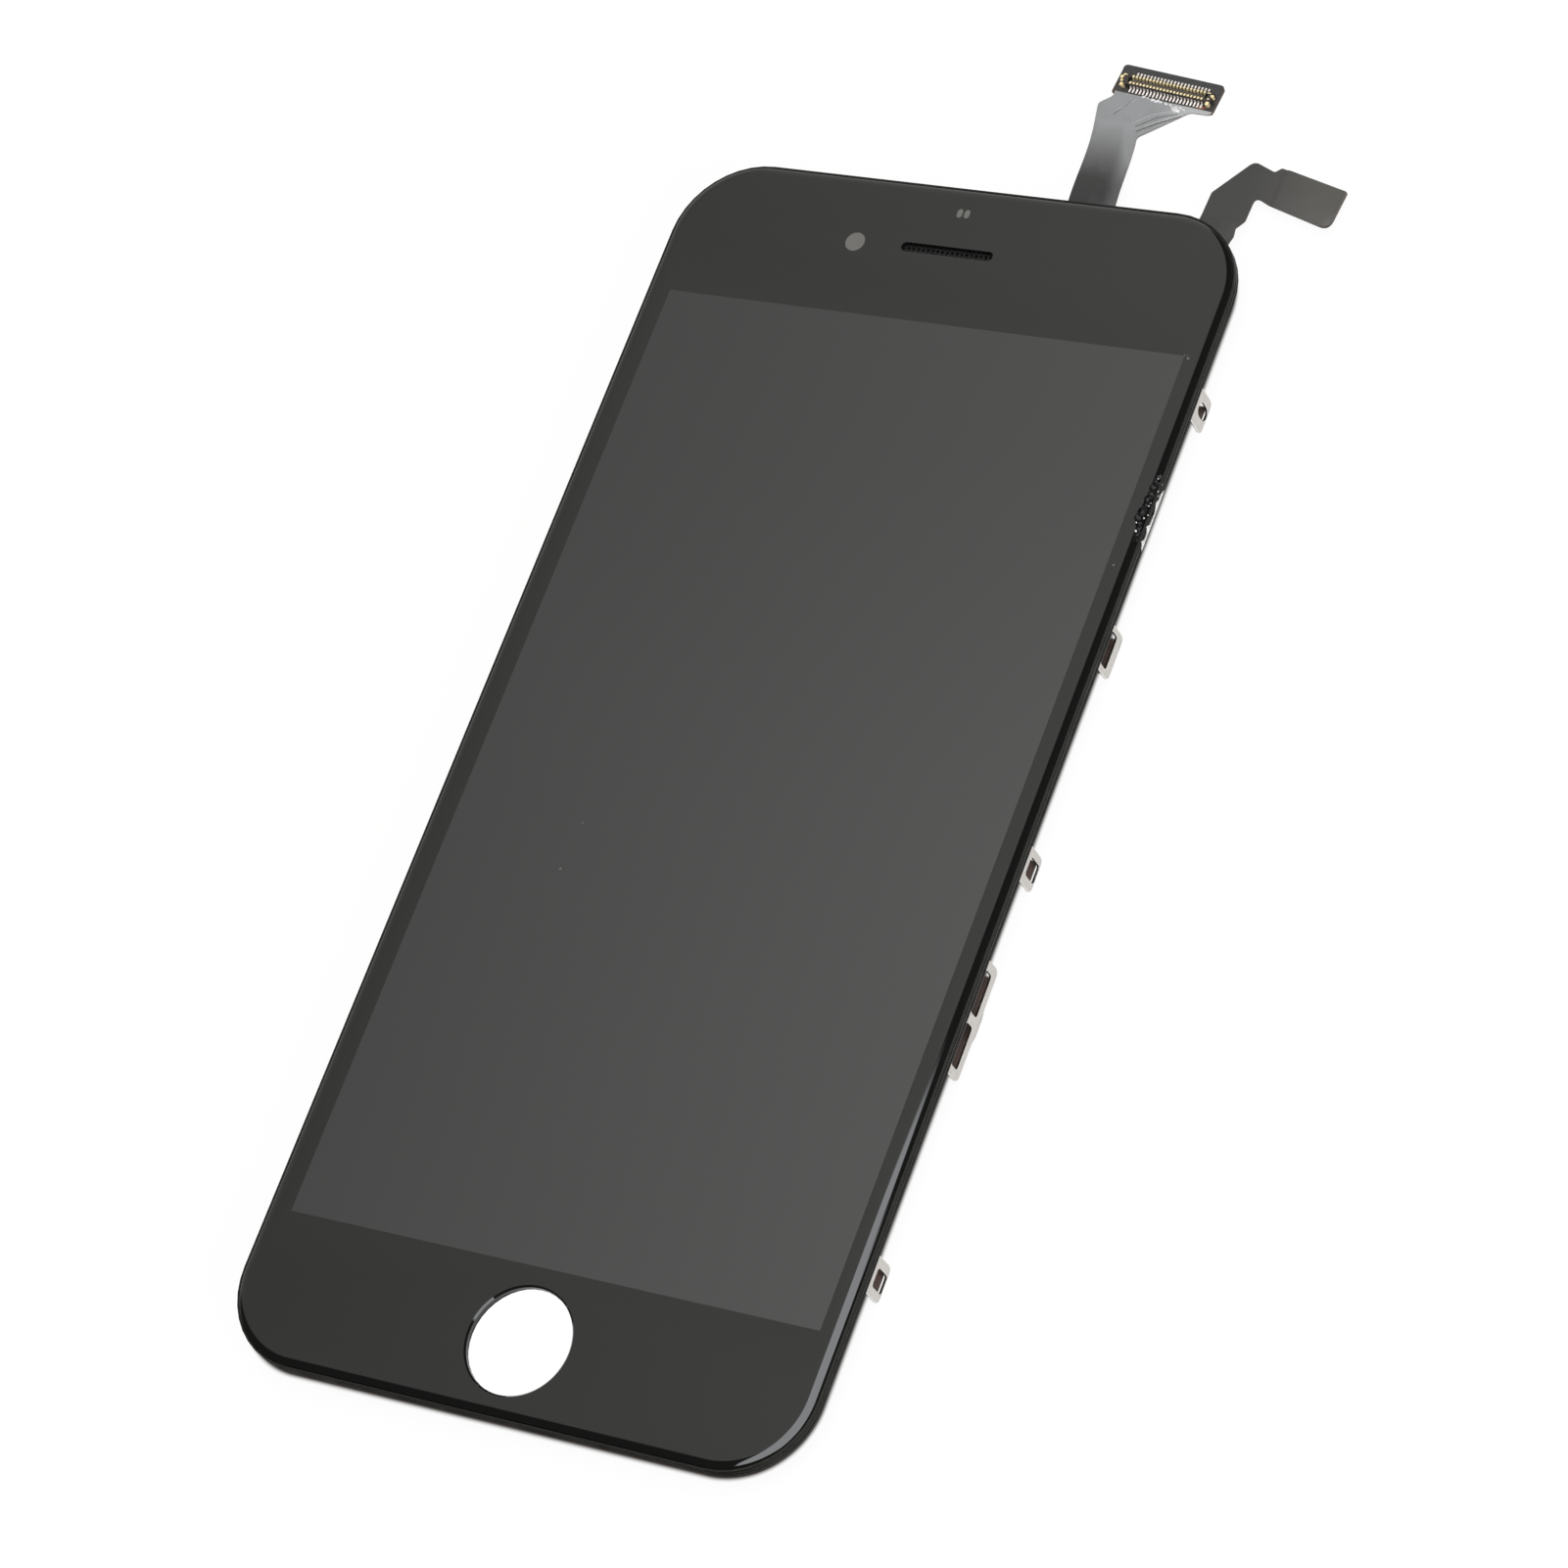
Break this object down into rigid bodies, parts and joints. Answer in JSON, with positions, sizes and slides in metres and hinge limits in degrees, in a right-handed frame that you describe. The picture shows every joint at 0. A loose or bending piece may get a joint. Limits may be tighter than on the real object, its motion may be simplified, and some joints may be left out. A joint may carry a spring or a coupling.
{
  "type": "phone lcd screen assembly",
  "caption": "Black phone screen assembly with rounded cover glass, LCD module, moulded frame, steel side clips and flat film circuits, chipped at its right edge.",
  "frame": {"origin": "middle of the cover glass, on its front face", "axes": "+X to the right and +Y towards the earpiece as the user sees the screen, +Z out of the glass"},
  "size_m": [0.0699, 0.1538, 0.0048],
  "materials": {
    "glass": "clear cover glass over black print, glossy",
    "ink": "black printed layer",
    "foam": "black adhesive foam",
    "black_plastic": "moulded black, fine satin",
    "steel": "stamped, satin",
    "brass": "turned",
    "clear_film": "clear and grey optical film",
    "cell_glass": "thin display glass",
    "silicon": "polished die",
    "white_plastic": "moulded white",
    "copper_film": "grey polyimide film over copper",
    "dark_film": "dark polyimide film",
    "connector": "moulded black connector with metal contacts",
    "gold": "gold-plated solder lug"
  },
  "bodies": {
    "root": {"backlight_pan": "steel", "bezel_frame": "black_plastic", "border_print": "ink", "camera_ring": "clear_film", "clip_left_1": "steel", "clip_left_2": "steel", "clip_left_3": "steel", "clip_left_4": "steel", "clip_left_5": "steel", "clip_right_1": "steel", "clip_right_2": "steel", "clip_right_3": "steel", "clip_right_4": "steel", "clip_right_5": "steel", "colour_filter_glass": "cell_glass", "cover_glass": "glass", "diffuser_film": "clear_film", "display_connector": "connector", "display_flex": "copper_film", "display_stiffener": "steel", "driver_chip": "silicon", "earpiece_gasket": "foam", "earpiece_mesh": "steel", "frame_adhesive": "foam", "front_polarizer": "clear_film", "hold_down_left": "gold", "hold_down_right": "gold", "insert_1": "brass", "insert_2": "brass", "insert_3": "brass", "insert_4": "brass", "insert_5": "brass", "led_strip": "white_plastic", "light_guide": "clear_film", "lower_prism_film": "clear_film", "lower_tab_left": "steel", "lower_tab_right": "steel", "moulded_tray": "white_plastic", "optical_adhesive": "clear_film", "rear_polarizer": "clear_film", "reflector_film": "white_plastic", "rim_tape": "ink", "sensor_holder": "black_plastic", "tft_glass": "cell_glass", "top_hook_1": "steel", "top_hook_2": "steel", "top_hook_3": "steel", "touch_connector": "connector", "touch_flex": "dark_film", "touch_stiffener": "dark_film", "upper_prism_film": "clear_film"}
  },
  "joints": []
}
